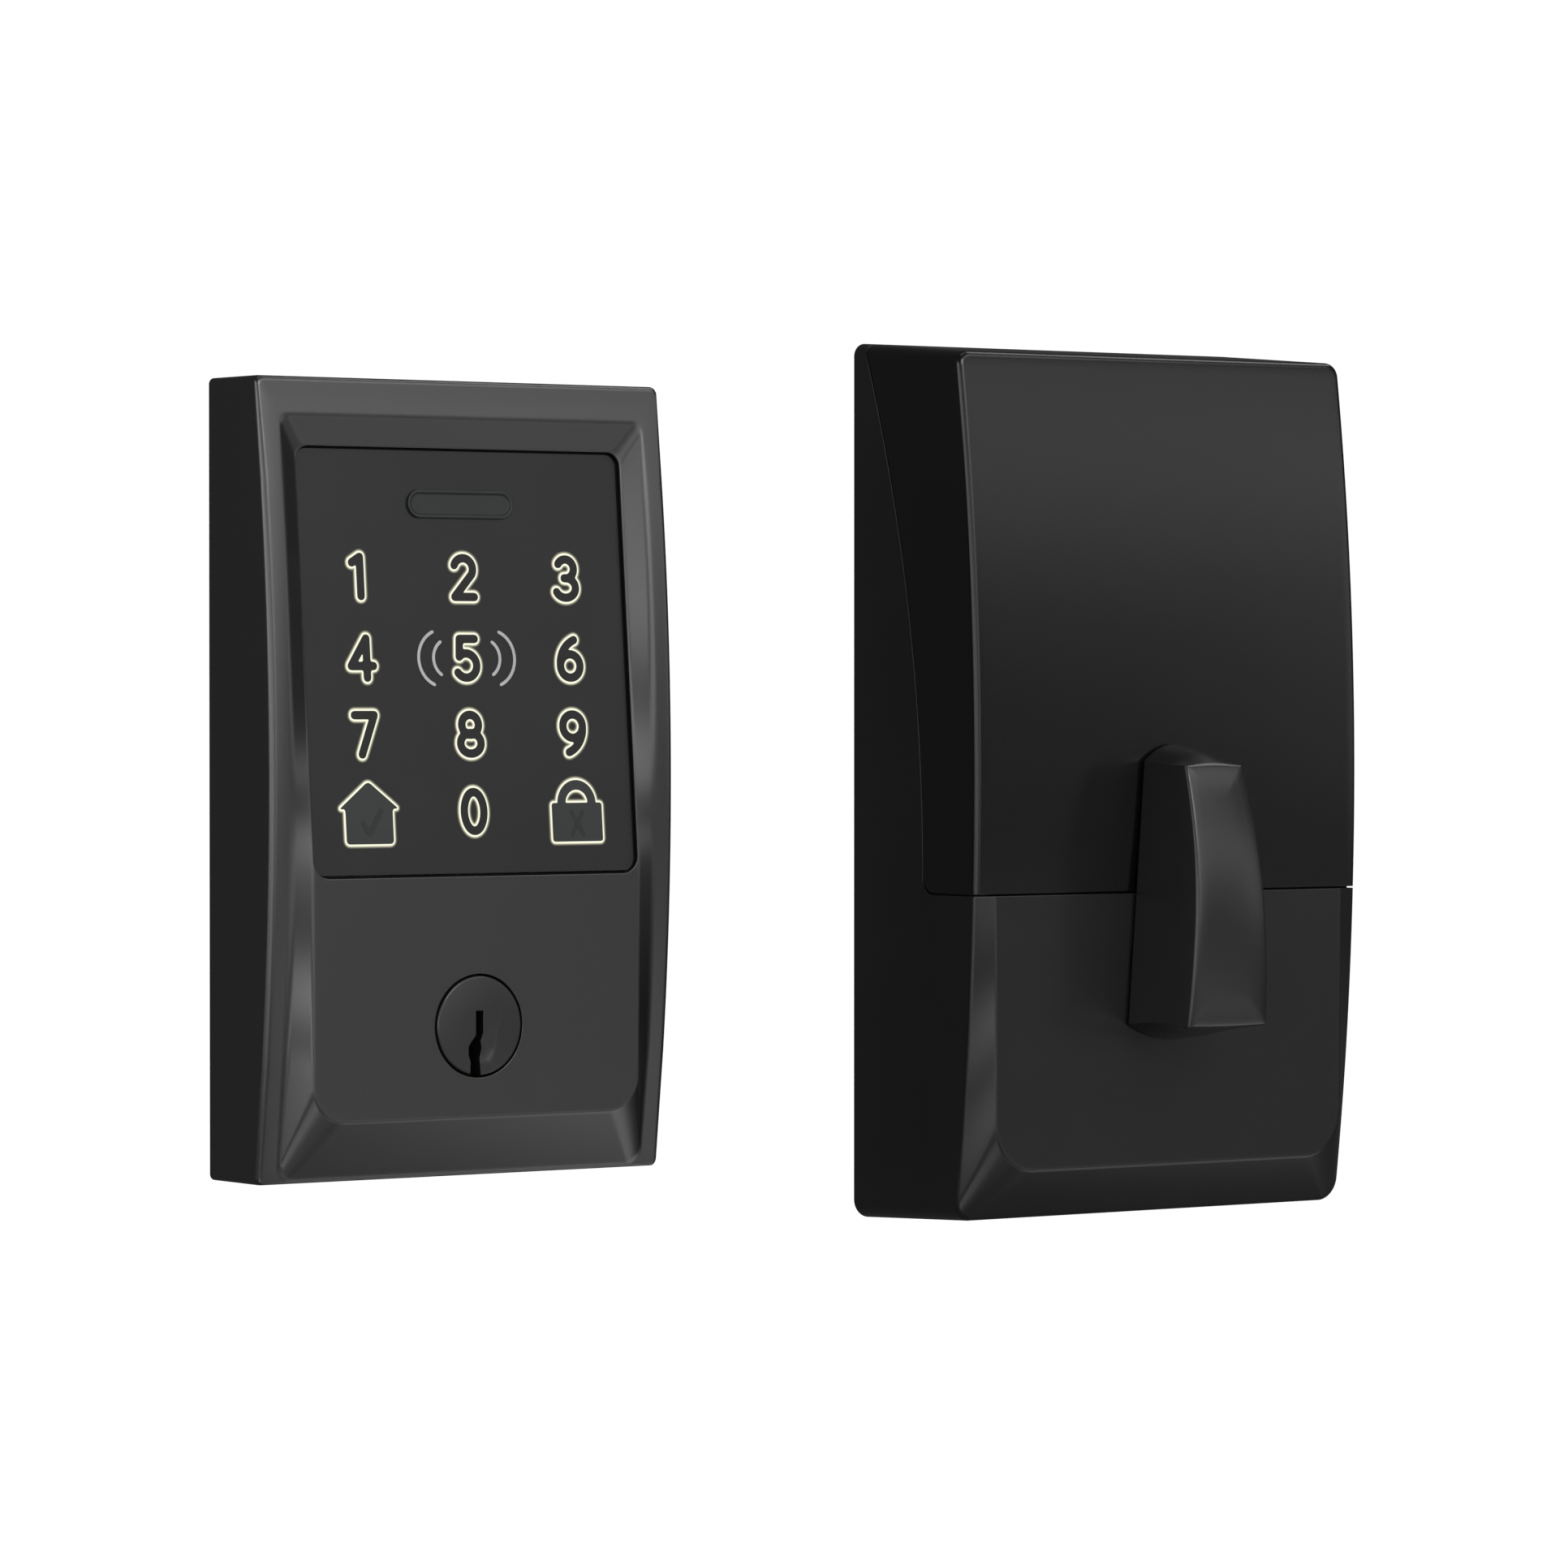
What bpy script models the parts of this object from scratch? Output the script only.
"""Keypad smart lock: the exterior keypad unit and the interior thumbturn unit of a motorised deadbolt.

Both units lie on one door plane, y = 0, and face -Y, the exterior unit on the left. Lengths are in
metres and +Z is up. The origin is the centre of the exterior unit's door side. "Depth" is the distance
from the door plane towards the viewer, so y = -depth.
"""

import math

import bmesh
import bpy
from mathutils import Vector

MM = 0.001

# Clearances
GAP = 0.3 * MM  # between two pieces that touch or fit in each other
SEAM = 0.15 * MM  # each side of the battery cover's seam

# Exterior unit: outline, arched rim and the edge that frames the touch panel
EXT_HALF_WIDTH = 38.1 * MM
EXT_HALF_HEIGHT = 63.5 * MM
EXT_CORNER = 1.0 * MM
EXT_DEPTH = 19.05 * MM  # rim depth at mid height
EXT_DROP = 4.55 * MM  # how much shallower the rim is at the top and bottom
EXT_BACK = 0.2 * MM  # the casting stops short of the door, which the gasket touches
EXT_FILLET = 1.3 * MM
EXT_WALL = 2.4 * MM
RIM_SIDE = 3.8 * MM
RIM_TOP = 6.0 * MM
RIM_BOTTOM = 1.6 * MM
EDGE_HALF_WIDTH = 30.9 * MM
EDGE_TOP = 52.8 * MM
EDGE_BOTTOM = -53.9 * MM
EDGE_TOP_RADIUS = 2.5 * MM
EDGE_BOTTOM_RADIUS = 6.0 * MM
PANEL_DEPTH = 19.7 * MM  # flat lower panel round the key cylinder
EXT_LEVEL_SPAN = (-47.0 * MM, 49.5 * MM)
EXT_SIDE_LEVELS = 13

# Touch panel: a flat plate whose top leans back
GLASS_TOP = 53.5 * MM
GLASS_BOTTOM = -15.5 * MM
GLASS_TOP_DEPTH = 13.25 * MM
GLASS_BOTTOM_DEPTH = 19.1 * MM
GLASS_THICKNESS = 1.6 * MM
GLASS_RECESS = 0.8 * MM  # below the edge that frames it
GLASS_OVERLAP = 0.35 * MM  # hidden behind that edge
OPENING_INSET = 0.15 * MM
OPENING_TOP_RADIUS = 2.4 * MM
OPENING_BOTTOM_RADIUS = 3.0 * MM
STACK_HALF_WIDTH = 30.2 * MM
STACK_HALF_HEIGHT = 33.0 * MM
LAYER_THICKNESS = 1.2 * MM
GASKET_WIDTH = 2.0 * MM
KEYPAD_CONNECTOR_HALF_WIDTH = 6.0 * MM
KEYPAD_CONNECTOR_HEIGHT = 5.0 * MM
KEYPAD_CONNECTOR_DEPTH = 4.0 * MM
KEYPAD_CONNECTOR_Z = 14.0 * MM
BADGE_HALF_WIDTH = 10.0 * MM
BADGE_HALF_HEIGHT = 2.25 * MM
BADGE_HEIGHT_ABOVE_GLASS = 0.7 * MM
BADGE_Z = 43.8 * MM

# Key cylinder
CYLINDER_Z = -39.3 * MM
PLUG_RADIUS = 7.95 * MM
PLUG_HOLE_RADIUS = 8.3 * MM
PLUG_FRONT = 19.95 * MM
PLUG_BACK = 2.9 * MM
PLUG_SHOULDER = 4.5 * MM
PLUG_TAIL_RADIUS = 5.0 * MM
PLUG_BEVEL = 0.4 * MM
CYLINDER_RADIUS = 12.0 * MM
CYLINDER_FRONT = 13.9 * MM
CYLINDER_BACK = 4.2 * MM
CLIP_RADIUS = 7.4 * MM
CLIP_MOUTH_HALF_WIDTH = 3.5 * MM  # in both retaining clips
KEYWAY_WIDTH = 1.2 * MM
KEYWAY_TOP = 2.4 * MM
KEYWAY_JOG = -1.6 * MM
KEYWAY_SHIFT = 0.7 * MM
KEYWAY_DEPTH = 13.0 * MM
TAILPIECE_END = -45.0 * MM  # past the door plane
TAILPIECE_HALF_WIDTH = 3.0 * MM
TAILPIECE_HALF_THICKNESS = 1.3 * MM
TAILPIECE_CORNER = 0.5 * MM

# Exterior back plate, gasket and fasteners
DOOR_GASKET_THICKNESS = 1.1 * MM
BACK_PLATE_BACK = 1.4 * MM
BACK_PLATE_FRONT = 2.6 * MM
BACK_HALF_WIDTH = 35.3 * MM
BACK_HALF_HEIGHT = 60.7 * MM
PLATE_CORNER = 1.5 * MM
TAIL_HOLE_RADIUS = 8.2 * MM
POST_SPACING = 19.05 * MM  # each side of the cylinder axis
POST_RADIUS = 4.5 * MM
POST_THREAD_RADIUS = 3.05 * MM
POST_END = -14.0 * MM
POST_THREAD_STOP = -2.0 * MM
SCREW_X = 28.0 * MM
SCREW_HEIGHTS = (57.4 * MM, -52.0 * MM)
BOSS_RADIUS = 2.6 * MM
SCREW_RADIUS = 1.25 * MM
SCREW_HEAD_RADIUS = 2.6 * MM
SCREW_HOLE_RADIUS = 1.6 * MM
EXT_SCREW_TIP = 9.0 * MM
EXT_SCREW_HOLE_END = 9.5 * MM
CABLE_HALF_WIDTH = 9.0 * MM
CABLE_HALF_HEIGHT = 5.0 * MM
EXT_CABLE_Z = 30.0 * MM

# Interior unit: centre line, outline and arched front
INT_X = 129.46 * MM
INT_BOTTOM = -75.37 * MM
INT_HALF_WIDTH = 41.15 * MM
INT_HEIGHT = 148.0 * MM
INT_TOP_DRAFT = 2.3 * MM
INT_BOTTOM_DRAFT = 1.2 * MM
INT_TOP_RADIUS = 2.2 * MM
INT_BOTTOM_RADIUS = 3.2 * MM
INT_DEPTH = 34.4 * MM  # crest of the arched front
INT_CREST = 75.0 * MM  # height of the crest above the unit's bottom
INT_CURVE = 1.0  # depth lost per metre squared away from the crest
INT_BACK = 0.2 * MM
INT_FILLET = 1.2 * MM
INT_WALL = 2.2 * MM
INT_FRONT_WALL = 2.4 * MM
INT_SIDE_LEVELS = 13
INT_LEVEL_SPAN = (18.5 * MM, 135.0 * MM)
COVER_INNER_RADIUS = 1.0 * MM
COVER_INNER_DRAFT = 0.4 * MM
SEAM_HEIGHT = 55.45 * MM
SEAM_CORNER = 2.8 * MM
SEAM_DEPTH = 19.7 * MM  # where the seam turns up the side
SEAM_CURVE = 2.15  # depth lost per metre squared above the start of the side seam
SEAM_START = 60.0 * MM
FACE_DEPTH = 34.7 * MM  # flat lower face round the thumbturn
FACE_INSET = 3.9 * MM
FACE_BOTTOM = 9.5 * MM
FACE_RADIUS = 8.0 * MM

# Thumbturn and drive train; heights are above the interior unit's bottom
PIVOT_HEIGHT = 43.5 * MM
HUB_RADIUS = 8.5 * MM
HUB_HOLE_RADIUS = 8.9 * MM
HUB_BACK = 27.0 * MM
HUB_HOLE_BACK = 20.0 * MM
HUB_SOCKET_RADIUS = 4.0 * MM
HUB_SOCKET_DEPTH = 5.0 * MM  # into the back of the lever
LEVER_BACK = 35.2 * MM
LEVER_WAIST = 45.5 * MM  # depth half way up the lever
LEVER_BASE_SPAN = (30.5 * MM, 80.3 * MM)
LEVER_WAIST_SPAN = (31.7 * MM, 78.9 * MM)
LEVER_FRONT_SPAN = (33.1 * MM, 77.0 * MM)
LEVER_BASE_HALF_WIDTHS = (9.7 * MM, 6.3 * MM)
LEVER_WAIST_HALF_WIDTHS = (8.85 * MM, 6.17 * MM)
LEVER_FRONT_HALF_WIDTHS = (8.4 * MM, 6.1 * MM)
LEVER_BASE_BULGE = 2.8 * MM  # how far the ends arch outwards
LEVER_WAIST_BULGE = 2.2 * MM
LEVER_FRONT_BULGE = 0.15 * MM
LEVER_SIDE_LEVELS = 9
LEVER_END_STEPS = 5
LEVER_DEPTH = 51.1 * MM
LEVER_CREST = 49.9 * MM
LEVER_CURVE_ABOVE = 6.54
LEVER_CURVE_BELOW = 3.5
LEVER_FILLET = 0.6 * MM
SPINDLE_RADIUS = 6.0 * MM
SPINDLE_BACK = 0.8 * MM
SPINDLE_NECK_RADIUS = 3.65 * MM
BUSHING_INNER_RADIUS = 6.35 * MM
BUSHING_OUTER_RADIUS = 9.2 * MM
BUSHING_FRONT = 4.0 * MM
SPINDLE_CLIP_RADIUS = 8.4 * MM
SPINDLE_CLIP_BACK = 7.7 * MM
SOCKET_HALF_WIDTH = 3.6 * MM
SOCKET_HALF_THICKNESS = 2.4 * MM
SOCKET_DEPTH = 20.0 * MM
GEAR_MODULE = 1.0 * MM
GEAR_TEETH = 30
PINION_TEETH = 10
PINION_BORE_RADIUS = 1.6 * MM
GEAR_BACK = 9.0 * MM
GEAR_FRONT = 13.0 * MM
MOTOR_ANGLE = math.radians(-45.0)
MOTOR_RADIUS = 8.0 * MM
MOTOR_BACK = 15.8 * MM
MOTOR_FRONT = 30.8 * MM
MOTOR_NECK_RADIUS = 3.0 * MM
SHAFT_RADIUS = 1.2 * MM
SHAFT_BACK = 8.5 * MM
SHAFT_HOLE_RADIUS = 2.2 * MM
SPINDLE_HOLE_RADIUS = 6.5 * MM
GEAR_PLATE_HALF_WIDTH = 33.0 * MM
GEAR_PLATE_BOTTOM = 6.5 * MM
GEAR_PLATE_TOP = 61.5 * MM
GEAR_PLATE_BACK = 14.2 * MM
GEAR_PLATE_FRONT = 15.4 * MM
GEAR_PLATE_SCREWS = ((-28.0 * MM, 14.0 * MM), (28.0 * MM, 14.0 * MM), (-28.0 * MM, 46.0 * MM))
GEAR_SCREW_HEAD_BACK = 12.7 * MM
GEAR_SCREW_TIP = 23.0 * MM
PILLAR_RADIUS = 3.2 * MM
PILLAR_HOLE_END = 24.0 * MM
POSITION_SWITCH_X = (-23.0 * MM, -17.8 * MM)
POSITION_SWITCH_BACK = 8.0 * MM
POSITION_SWITCH_SPAN = (24.0 * MM, 34.0 * MM)

# Batteries, AA size, standing side by side
BATTERY_RADIUS = 7.25 * MM
BATTERY_LENGTH = 50.5 * MM
BATTERY_PITCH = 16.4 * MM
BATTERY_COUNT = 4
BATTERY_DEPTH = 17.0 * MM
BATTERY_BOTTOM = 83.2 * MM
BATTERY_BEVEL = 0.4 * MM
BATTERY_NUB_RADIUS = 2.7 * MM
BATTERY_NUB_HEIGHT = 1.2 * MM
SPRING_WIRE_RADIUS = 0.35 * MM
SPRING_FOOT_RADIUS = 3.6 * MM
SPRING_TIP_RADIUS = 2.4 * MM
SPRING_CLEARANCE = 0.7 * MM
SPRING_TURNS = 2.5
SPRING_STEPS = 24
CONTACT_HALF_WIDTH = 3.5 * MM
CONTACT_THICKNESS = 0.8 * MM
CONTACT_BUMP_HALF_WIDTH = 1.4 * MM
TROUGH_RADIUS = 7.6 * MM
TRAY_HALF_WIDTH = 34.5 * MM
TRAY_BACK = 8.0 * MM
TRAY_FRONT = 20.0 * MM
TRAY_BOTTOM = 76.5 * MM
TRAY_TOP = 140.5 * MM
TRAY_WALL = 2.0 * MM

# Interior plate and electronics
SUPPORT_THICKNESS = 1.5 * MM
SUPPORT_BOLT_HOLE_RADIUS = 3.3 * MM
SUPPORT_SPINDLE_HOLE_RADIUS = 9.5 * MM
BOARD_BACK = 3.2 * MM
BOARD_FRONT = 4.8 * MM
BOARD_HALF_WIDTH = 28.0 * MM
BOARD_BOTTOM = 62.0 * MM
BOARD_TOP = 134.0 * MM
PART_BACK = 5.1 * MM  # back of the pieces soldered to the board
INT_CABLE_HEIGHT = 69.0 * MM
TAB_X = 34.5 * MM
TAB_HEIGHT = 138.0 * MM
TAB_HALF_HEIGHT = 4.0 * MM
TAB_INNER_X = 31.0 * MM
TAB_BACK = 2.2 * MM
TAB_FRONT = 4.4 * MM
TAB_HOLE_END = 6.0 * MM
TAB_SCREW_HEAD_FRONT = 6.2 * MM
BOARD_CONNECTOR_HALF_WIDTH = 7.0 * MM
BOARD_CONNECTOR_HALF_HEIGHT = 3.0 * MM
BOARD_CONNECTOR_FRONT = 10.0 * MM
SOUNDER_X = 19.0 * MM
SOUNDER_RADIUS = 6.0 * MM
SOUNDER_FRONT = 9.0 * MM
BUTTON_X = -20.0 * MM
BUTTON_HEIGHT = 68.0 * MM
BUTTON_RADIUS = 2.4 * MM
BUTTON_TIP_RADIUS = 1.9 * MM
BUTTON_BACK = 9.2 * MM
BUTTON_SHOULDER = 14.0 * MM
BUTTON_TIP = 14.5 * MM
SWITCH_HALF_WIDTH = 3.0 * MM
SWITCH_FRONT = 8.0 * MM


def clear_scene():
    """Start from an empty file."""
    for old in list(bpy.data.objects):
        bpy.data.objects.remove(old, do_unlink=True)


def material(name, colour, roughness, metallic=0.0):
    """A Principled material in one colour."""
    made = bpy.data.materials.new(name)
    made.use_nodes = True
    shader = made.node_tree.nodes["Principled BSDF"]
    shader.inputs["Base Color"].default_value = (*colour, 1.0)
    shader.inputs["Roughness"].default_value = roughness
    shader.inputs["Metallic"].default_value = metallic
    return made


def new_object(name, vertices, faces, paint=None, origin=Vector((0.0, 0.0, 0.0)), smooth=None):
    """An object from world-space vertices, with its own origin and outward normals."""
    mesh = bpy.data.meshes.new(name)
    bm = bmesh.new()
    made = [bm.verts.new(Vector(v) - origin) for v in vertices]
    for face in faces:
        bm.faces.new([made[i] for i in face])
    bmesh.ops.recalc_face_normals(bm, faces=bm.faces)
    bm.to_mesh(mesh)
    bm.free()
    obj = bpy.data.objects.new(name, mesh)
    obj.location = origin
    bpy.context.collection.objects.link(obj)
    if paint is not None:
        mesh.materials.append(paint)
    if smooth is not None:
        mesh.shade_smooth()
        mesh.set_sharp_from_angle(angle=math.radians(smooth))
    return obj


def combine(target, tool, operation, solver="EXACT"):
    """Cut, join or intersect with a hidden guide object."""
    tool.hide_render = True
    tool.display_type = "WIRE"
    modifier = target.modifiers.new(tool.name, "BOOLEAN")
    modifier.operation = operation
    modifier.solver = solver
    modifier.object = tool


def spread(first, last, count):
    """Evenly spaced values from first to last."""
    return [first + (last - first) * i / (count - 1) for i in range(count)]


def half_outline(half_width, bottom, top, bottom_radius, top_radius, levels, arc_steps=4):
    """Right half of a rounded rectangle in x and z, from the bottom up, with points at given levels."""
    points = []
    for angle in spread(-math.pi / 2, 0.0, arc_steps + 1):
        x = half_width - bottom_radius + bottom_radius * math.cos(angle)
        points.append((x, bottom + bottom_radius + bottom_radius * math.sin(angle)))
    points += [(half_width, level) for level in levels]
    for angle in spread(0.0, math.pi / 2, arc_steps + 1):
        x = half_width - top_radius + top_radius * math.cos(angle)
        points.append((x, top - top_radius + top_radius * math.sin(angle)))
    return points


def ring(half, depth_at, centre_x=0.0, base_z=0.0):
    """A closed loop from a half outline; its depth is a function of height."""
    right = [Vector((centre_x + x, -depth_at(z), base_z + z)) for x, z in half]
    left = [Vector((centre_x - x, -depth_at(z), base_z + z)) for x, z in reversed(half)]
    return right + left


def loft(name, rings, paint=None, origin=Vector((0.0, 0.0, 0.0)), smooth=None):
    """Skin between mirrored rings, closed at both ends by strips from side to side."""
    count = len(rings[0])
    vertices = [point for loop in rings for point in loop]
    faces = []
    for level in range(len(rings) - 1):
        low, high = level * count, (level + 1) * count
        for i in range(count):
            j = (i + 1) % count
            faces.append((low + i, low + j, high + j, high + i))
    for start in (0, (len(rings) - 1) * count):
        for i in range(count // 2 - 1):
            a, b = start + i, start + i + 1
            c, d = start + count - 2 - i, start + count - 1 - i
            faces.append((a, b, c, d))
    return new_object(name, vertices, faces, paint, origin, smooth)


def plate(name, half, back, front, paint=None, centre_x=0.0, base_z=0.0):
    """A flat plate with a rounded outline, between two depths."""
    rings = [ring(half, lambda z, d=depth: d, centre_x, base_z) for depth in (back, front)]
    return loft(name, rings, paint)


def box(name, x_range, depth_range, z_range, paint=None):
    """A box between two limits on each axis; depths are measured from the door plane."""
    (x0, x1), (d0, d1), (z0, z1) = x_range, depth_range, z_range
    vertices = [(x, -d, z) for x in (x0, x1) for d in (d0, d1) for z in (z0, z1)]
    faces = [(0, 1, 3, 2), (4, 5, 7, 6), (0, 1, 5, 4), (2, 3, 7, 6), (0, 2, 6, 4), (1, 3, 7, 5)]
    return new_object(name, vertices, faces, paint)


def turned(name, profile, centre, paint=None, segments=32, along_z=False, closed=False, origin=None):
    """A turned shape from (radius, distance) pairs, about Y with depths or about Z with heights."""
    vertices = []
    for radius, distance in profile:
        for i in range(segments):
            angle = 2 * math.pi * i / segments
            u, v = radius * math.cos(angle), radius * math.sin(angle)
            if along_z:
                vertices.append((centre[0] + u, centre[1] + v, distance))
            else:
                vertices.append((centre[0] + u, -distance, centre[1] + v))
    faces = []
    loops = len(profile)
    for level in range(loops if closed else loops - 1):
        low, high = level * segments, (level + 1) % loops * segments
        for i in range(segments):
            j = (i + 1) % segments
            faces.append((low + i, low + j, high + j, high + i))
    if not closed:
        faces.append(tuple(range(segments)))
        faces.append(tuple(range((loops - 1) * segments, loops * segments)))
    start = origin if origin is not None else Vector((0.0, 0.0, 0.0))
    return new_object(name, vertices, faces, paint, start, smooth=40.0)


def washer(name, centre, radii, depths, paint=None, segments=32, origin=None):
    """A flat ring about a Y axis."""
    (inner, outer), (back, front) = radii, depths
    profile = [(inner, back), (outer, back), (outer, front), (inner, front)]
    return turned(name, profile, centre, paint, segments, closed=True, origin=origin)


def rods(name, centres, radius, depths, segments=20):
    """Several parallel cylinders in one guide object, about Y axes."""
    vertices, faces = [], []
    for x, z in centres:
        first = len(vertices)
        for depth in depths:
            for i in range(segments):
                angle = 2 * math.pi * i / segments
                vertices.append((x + radius * math.cos(angle), -depth, z + radius * math.sin(angle)))
        back = list(range(first, first + segments))
        front = list(range(first + segments, first + 2 * segments))
        faces += [(back[i - 1], back[i], front[i], front[i - 1]) for i in range(segments)]
        faces += [tuple(back), tuple(front)]
    return new_object(name, vertices, faces)


def screw(name, x, z, head_depths, tip_depth, paint):
    """A pan-head screw driven towards the viewer or towards the door."""
    outer, inner = head_depths
    profile = [
        (SCREW_HEAD_RADIUS * 0.8, outer),
        (SCREW_HEAD_RADIUS, (outer + inner) / 2),
        (SCREW_HEAD_RADIUS, inner),
        (SCREW_RADIUS, inner),
        (SCREW_RADIUS, tip_depth),
    ]
    return turned(name, profile, (x, z), paint, segments=12)


# ---------------------------------------------------------------------------------------------------
# Exterior unit


def ext_arc(z):
    """Depth of the exterior rim."""
    return EXT_DEPTH - EXT_DROP * (z / EXT_HALF_HEIGHT) ** 2


def glass_depth(z):
    """Depth of the touch panel's front at a height."""
    share = (z - GLASS_BOTTOM) / (GLASS_TOP - GLASS_BOTTOM)
    return GLASS_BOTTOM_DEPTH + (GLASS_TOP_DEPTH - GLASS_BOTTOM_DEPTH) * share


def frame_depth(z):
    """Depth of the edge round the touch panel and of the lower panel below it."""
    return min(PANEL_DEPTH, glass_depth(z) + GLASS_RECESS)


def ext_ceiling(z):
    """Depth of the casting's inner side."""
    behind_glass = glass_depth(z) - GLASS_THICKNESS - 2 * GAP
    return min(behind_glass, ext_arc(z) - (PANEL_DEPTH - EXT_DEPTH) - 1.0 * MM)


def ext_levels():
    """Heights of the points along the exterior unit's sides."""
    return spread(*EXT_LEVEL_SPAN, EXT_SIDE_LEVELS)


def ext_half(inset, bottom_inset, top_inset, bottom_radius=EXT_CORNER, top_radius=EXT_CORNER):
    """Half outline of the exterior unit, moved inwards."""
    return half_outline(
        EXT_HALF_WIDTH - inset,
        -EXT_HALF_HEIGHT + bottom_inset,
        EXT_HALF_HEIGHT - top_inset,
        bottom_radius,
        top_radius,
        ext_levels(),
    )


def escutcheon(paint):
    """Cast front of the exterior unit, open at the back and over the touch panel."""
    bevel = EXT_FILLET * (1 - math.cos(math.pi / 4))
    edge = half_outline(
        EDGE_HALF_WIDTH, EDGE_BOTTOM, EDGE_TOP, EDGE_BOTTOM_RADIUS, EDGE_TOP_RADIUS, ext_levels()
    )
    rings = [
        ring(ext_half(0.0, 0.0, 0.0), lambda z: EXT_BACK),
        ring(ext_half(0.0, 0.0, 0.0), lambda z: ext_arc(z) - EXT_FILLET),
        ring(ext_half(bevel, bevel, bevel), lambda z: ext_arc(z) - bevel),
        ring(ext_half(EXT_FILLET, EXT_FILLET, EXT_FILLET), ext_arc),
        ring(ext_half(RIM_SIDE, RIM_BOTTOM, RIM_TOP), ext_arc),
        ring(edge, frame_depth),
    ]
    body = loft("exterior_escutcheon", rings, paint, smooth=25.0)

    inner = ext_half(EXT_WALL, EXT_WALL, EXT_WALL)
    cavity = loft("ext_cavity", [ring(inner, lambda z: -GAP), ring(inner, ext_ceiling)])
    combine(body, cavity, "DIFFERENCE")

    pocket_half = half_outline(
        EDGE_HALF_WIDTH + GLASS_OVERLAP + GAP,
        GLASS_BOTTOM + OPENING_INSET,
        EDGE_TOP + GLASS_OVERLAP + GAP,
        EXT_CORNER,
        EXT_CORNER,
        [],
    )
    pocket = loft(
        "ext_glass_pocket",
        [
            ring(pocket_half, lambda z: glass_depth(z) - GLASS_THICKNESS - 3 * GAP),
            ring(pocket_half, lambda z: glass_depth(z) + GAP),
        ],
    )
    combine(body, pocket, "DIFFERENCE")

    opening_half = half_outline(
        EDGE_HALF_WIDTH - OPENING_INSET,
        GLASS_BOTTOM,
        EDGE_TOP - OPENING_INSET,
        OPENING_BOTTOM_RADIUS,
        OPENING_TOP_RADIUS,
        [],
    )
    opening = plate("ext_opening", opening_half, GLASS_TOP_DEPTH - 3 * MM, PANEL_DEPTH + MM)
    combine(body, opening, "DIFFERENCE")

    plug_hole = rods(
        "ext_plug_hole", [(0.0, CYLINDER_Z)], PLUG_HOLE_RADIUS, (CYLINDER_FRONT, PANEL_DEPTH + MM), 32
    )
    combine(body, plug_hole, "DIFFERENCE")

    boss_back = BACK_PLATE_FRONT + GAP
    for row, height in zip(("top", "bottom"), SCREW_HEIGHTS):
        pair = [(-SCREW_X, height), (SCREW_X, height)]
        boss_front = ext_ceiling(height) + MM
        bosses = rods("ext_bosses_" + row, pair, BOSS_RADIUS, (boss_back, boss_front), 16)
        combine(body, bosses, "UNION")
    holes = rods("ext_boss_holes", screw_places(), SCREW_HOLE_RADIUS, (0.0, EXT_SCREW_HOLE_END), 12)
    combine(body, holes, "DIFFERENCE")
    return body


def screw_places():
    """Centres of the four screws behind the exterior unit."""
    return [(x, z) for z in SCREW_HEIGHTS for x in (-SCREW_X, SCREW_X)]


def layer(name, paint, half_width, bottom, top, start, thickness, hollow=0.0):
    """A sheet parallel to the touch panel; start is how far its front is behind the panel's front."""
    half = half_outline(half_width, bottom, top, EXT_CORNER, EXT_CORNER, [])
    rings = [
        ring(half, lambda z: glass_depth(z) - start - thickness),
        ring(half, lambda z: glass_depth(z) - start),
    ]
    sheet = loft(name, rings, paint)
    if hollow > 0.0:
        inner = half_outline(
            half_width - hollow, bottom + hollow, top - hollow, EXT_CORNER, EXT_CORNER, []
        )
        window = loft(
            name + "_window",
            [
                ring(inner, lambda z: glass_depth(z) - start - 2 * thickness),
                ring(inner, lambda z: glass_depth(z) - start + thickness),
            ],
        )
        combine(sheet, window, "DIFFERENCE")
    return sheet


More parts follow.
